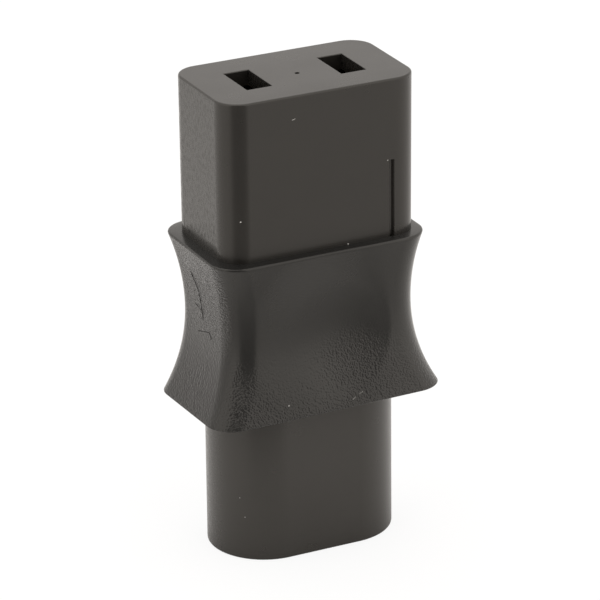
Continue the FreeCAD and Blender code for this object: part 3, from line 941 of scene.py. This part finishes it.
def light_surround(studio):
    """A white surround with a shaded part low on the camera's side, before a plain white background."""
    world = bpy.data.worlds.new("studio_surround")
    bpy.context.scene.world = world
    world.use_nodes = True
    tree = world.node_tree
    tree.nodes.clear()
    way = add(tree, "ShaderNodeTexCoord").outputs["Generated"]
    level = reckon_vector(tree, "MULTIPLY", way, (1, 1, 0))["Vector"]
    bearing = reckon_vector(tree, "NORMALIZE", level)["Vector"]
    rise = along(tree, way, "Z")

    def towards(vector, direction):
        return reckon_vector(tree, "DOT_PRODUCT", vector, direction)["Value"]

    def climb(low, high, foot, top):
        return spread(tree, rise, low, high, math.sin(foot), math.sin(top))

    def beside(direction):
        soft = math.sin(studio.shade_side)
        return spread(tree, towards(way, direction), low=0.0, high=1.0, start=-soft, end=soft)

    front = towards(bearing, level_way(studio.azimuth))
    from_below = spread(tree, front, *studio.floor_light, start=-1.0)
    from_above = spread(tree, front, *studio.sky_light, start=-1.0)
    above = climb(0.0, 1.0, studio.horizon - studio.horizon_edge, studio.horizon + studio.horizon_edge)
    open_light = between(tree, above, from_below, from_above)
    quarter = math.pi / 2
    lean = Quaternion(level_way(studio.shade_right), studio.shade_lean)
    right_of = beside(level_way(studio.shade_left + quarter))
    left_of = beside(lean @ level_way(studio.shade_right - quarter))
    under = climb(1.0, 0.0, studio.shade_fade, studio.shade_top)
    shaded = times(tree, times(tree, right_of, left_of), under)
    shade = climb(*studio.shade, studio.shade_foot, studio.shade_core)
    strength = between(tree, shaded, open_light, shade)
    sky = add(tree, "ShaderNodeBackground", {"Color": (*studio.daylight, 1), "Strength": strength})
    backdrop = add(tree, "ShaderNodeBackground", {"Color": (1, 1, 1, 1), "Strength": 1.0})
    path = add(tree, "ShaderNodeLightPath").outputs
    mixed = add(tree, "ShaderNodeMixShader", {
        0: path["Is Camera Ray"], 1: sky.outputs["Background"], 2: backdrop.outputs["Background"]})
    add(tree, "ShaderNodeOutputWorld", {"Surface": mixed.outputs["Shader"]})


def hang_lamp(studio):
    """One large soft lamp over the back of the adapter."""
    lamp = bpy.data.lights.new("overhead_lamp", "AREA")
    lamp.shape = "SQUARE"
    lamp.size = studio.lamp_size
    lamp.energy = studio.lamp_power
    holder = bpy.data.objects.new("overhead_lamp", lamp)
    holder.location = studio.lamp_place
    aim = Vector((0, 0, studio.target_height)) - holder.location
    holder.rotation_euler = aim.to_track_quat("-Z", "Y").to_euler()
    bpy.context.scene.collection.objects.link(holder)


def lay_floor(studio):
    """The pale floor that the adapter stands on."""
    mesh = bmesh.new()
    bmesh.ops.create_grid(mesh, x_segments=1, y_segments=1, size=studio.floor_size / 2)
    data = bpy.data.meshes.new("floor")
    mesh.to_mesh(data)
    mesh.free()
    data.materials.append(floor_paper(studio))
    floor = bpy.data.objects.new("floor", data)
    bpy.context.scene.collection.objects.link(floor)


def set_camera(studio):
    """The camera at the photograph's viewing angle."""
    data = bpy.data.cameras.new("camera")
    data.lens = studio.lens
    data.sensor_width = studio.sensor
    data.shift_x, data.shift_y = studio.shift
    camera = bpy.data.objects.new("camera", data)
    rise = Vector((0, 0, math.sin(studio.elevation)))
    back = level_way(studio.azimuth) * math.cos(studio.elevation) + rise
    camera.location = Vector((0, 0, studio.target_height)) + back * studio.distance
    camera.rotation_mode = "QUATERNION"
    camera.rotation_quaternion = (-back).to_track_quat("-Z", "Y") @ Quaternion((0, 0, 1), studio.roll)
    bpy.context.scene.collection.objects.link(camera)
    bpy.context.scene.camera = camera


# Operators and panel


class ADAPTER_OT_outlet_block(Operator):
    """Model the block with the two slots."""
    bl_idname = "adapter.outlet_block"
    bl_label = "Outlet Block"

    def execute(self, context):
        scene = context.scene
        mesh = make_outlet_block(scene.adapter_outlet, COLLAR_HIGH.z - scene.adapter_grip.seat_depth)
        material = satin_moulding(scene.adapter_finish)
        even_shading(place_piece(mesh, "outlet_block", "housing_plastic", material, "outlet_housing"))
        return {"FINISHED"}


class ADAPTER_OT_grip_sleeve(Operator):
    """Model the waisted grip collar."""
    bl_idname = "adapter.grip_sleeve"
    bl_label = "Grip Sleeve"

    def execute(self, context):
        scene = context.scene
        width, depth, _ = SHROUD_HIGH - SHROUD_LOW
        seat = seat_outline(scene.adapter_outlet)
        neck = inset(seat, scene.adapter_outlet.shoulder)
        mesh = make_grip_collar(scene.adapter_grip, seat, neck, (width / 2, depth / 2, STADIUM * depth))
        material = leather_moulding(scene.adapter_finish)
        place_piece(mesh, "grip_sleeve", "grip_plastic", material, "grip_collar")
        return {"FINISHED"}


class ADAPTER_OT_inlet_block(Operator):
    """Model the shroud round the inlet."""
    bl_idname = "adapter.inlet_block"
    bl_label = "Inlet Block"

    def execute(self, context):
        scene = context.scene
        material = satin_moulding(scene.adapter_finish)
        mesh = make_inlet_block(scene.adapter_inlet)
        even_shading(place_piece(mesh, "inlet_block", "housing_plastic", material, "inlet_shroud"))
        return {"FINISHED"}


class ADAPTER_OT_inlet_pins(Operator):
    """Turn the two inlet pins."""
    bl_idname = "adapter.inlet_pins"
    bl_label = "Inlet Pins"

    def execute(self, context):
        scene = context.scene
        material = nickel_plate(scene.adapter_finish)
        for side, hand in ((-1, "left"), (1, "right")):
            mesh = make_inlet_pin(scene.adapter_inlet, side)
            place_piece(mesh, f"inlet_pin_{hand}", "pin_plating", material, f"pin_{hand}")
        return {"FINISHED"}


class ADAPTER_OT_contacts(Operator):
    """Finish the spring contacts as rolled brass."""
    bl_idname = "adapter.contacts"
    bl_label = "Contacts"

    def execute(self, context):
        material = brass_strip(context.scene.adapter_finish)
        for node in ("contact_left", "contact_right"):
            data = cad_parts[node].data
            data.materials.clear()
            data.materials.append(material)
        return {"FINISHED"}


class ADAPTER_OT_dust(Operator):
    """Scatter the few specks of dust on the front."""
    bl_idname = "adapter.dust"
    bl_label = "Dust"

    def execute(self, context):
        context.view_layer.update()
        material = dust_fluff(context.scene.adapter_finish)
        place_piece(make_dust(), "dust_specks", "housing_plastic", material)
        return {"FINISHED"}


class ADAPTER_OT_scratches(Operator):
    """Scratch the collar's left side."""
    bl_idname = "adapter.scratches"
    bl_label = "Scratches"

    def execute(self, context):
        scene = context.scene
        context.view_layer.update()
        material = scratched_plastic(scene.adapter_finish)
        place_piece(make_scratches(scene.adapter_grip), "grip_scratches", "grip_plastic", material)
        return {"FINISHED"}


class ADAPTER_OT_studio(Operator):
    """Set up the floor, light and camera."""
    bl_idname = "adapter.studio"
    bl_label = "Studio"

    def execute(self, context):
        studio = context.scene.adapter_studio
        context.scene.view_settings.view_transform = "Standard"
        lay_floor(studio)
        light_surround(studio)
        hang_lamp(studio)
        set_camera(studio)
        return {"FINISHED"}


class ADAPTER_PT_pieces(Panel):
    """Lists the adapter's pieces and its studio."""
    bl_idname = "ADAPTER_PT_pieces"
    bl_label = "Power Plug Adapter"
    bl_space_type = "VIEW_3D"
    bl_region_type = "UI"
    bl_category = "Adapter"

    def draw(self, context):
        for operator in OPERATORS:
            self.layout.operator(operator.bl_idname)


# Registering and running

GROUPS = {
    "adapter_outlet": AdapterOutlet,
    "adapter_grip": AdapterGrip,
    "adapter_inlet": AdapterInlet,
    "adapter_finish": AdapterFinish,
    "adapter_studio": AdapterStudio,
}
OPERATORS = (
    ADAPTER_OT_outlet_block, ADAPTER_OT_grip_sleeve, ADAPTER_OT_inlet_block, ADAPTER_OT_inlet_pins,
    ADAPTER_OT_contacts, ADAPTER_OT_dust, ADAPTER_OT_scratches, ADAPTER_OT_studio,
)


def register():
    for group in GROUPS.values():
        bpy.utils.register_class(group)
    for name, group in GROUPS.items():
        setattr(bpy.types.Scene, name, PointerProperty(type=group))
    for operator in OPERATORS:
        bpy.utils.register_class(operator)
    bpy.utils.register_class(ADAPTER_PT_pieces)


def unregister():
    bpy.utils.unregister_class(ADAPTER_PT_pieces)
    for operator in reversed(OPERATORS):
        bpy.utils.unregister_class(operator)
    for name in GROUPS:
        delattr(bpy.types.Scene, name)
    for group in GROUPS.values():
        bpy.utils.unregister_class(group)


def main():
    register()
    bpy.ops.adapter.outlet_block()
    bpy.ops.adapter.grip_sleeve()
    bpy.ops.adapter.inlet_block()
    bpy.ops.adapter.inlet_pins()
    bpy.ops.adapter.contacts()
    bpy.ops.adapter.dust()
    bpy.ops.adapter.scratches()
    bpy.ops.adapter.studio()


if __name__ == "__main__":
    main()
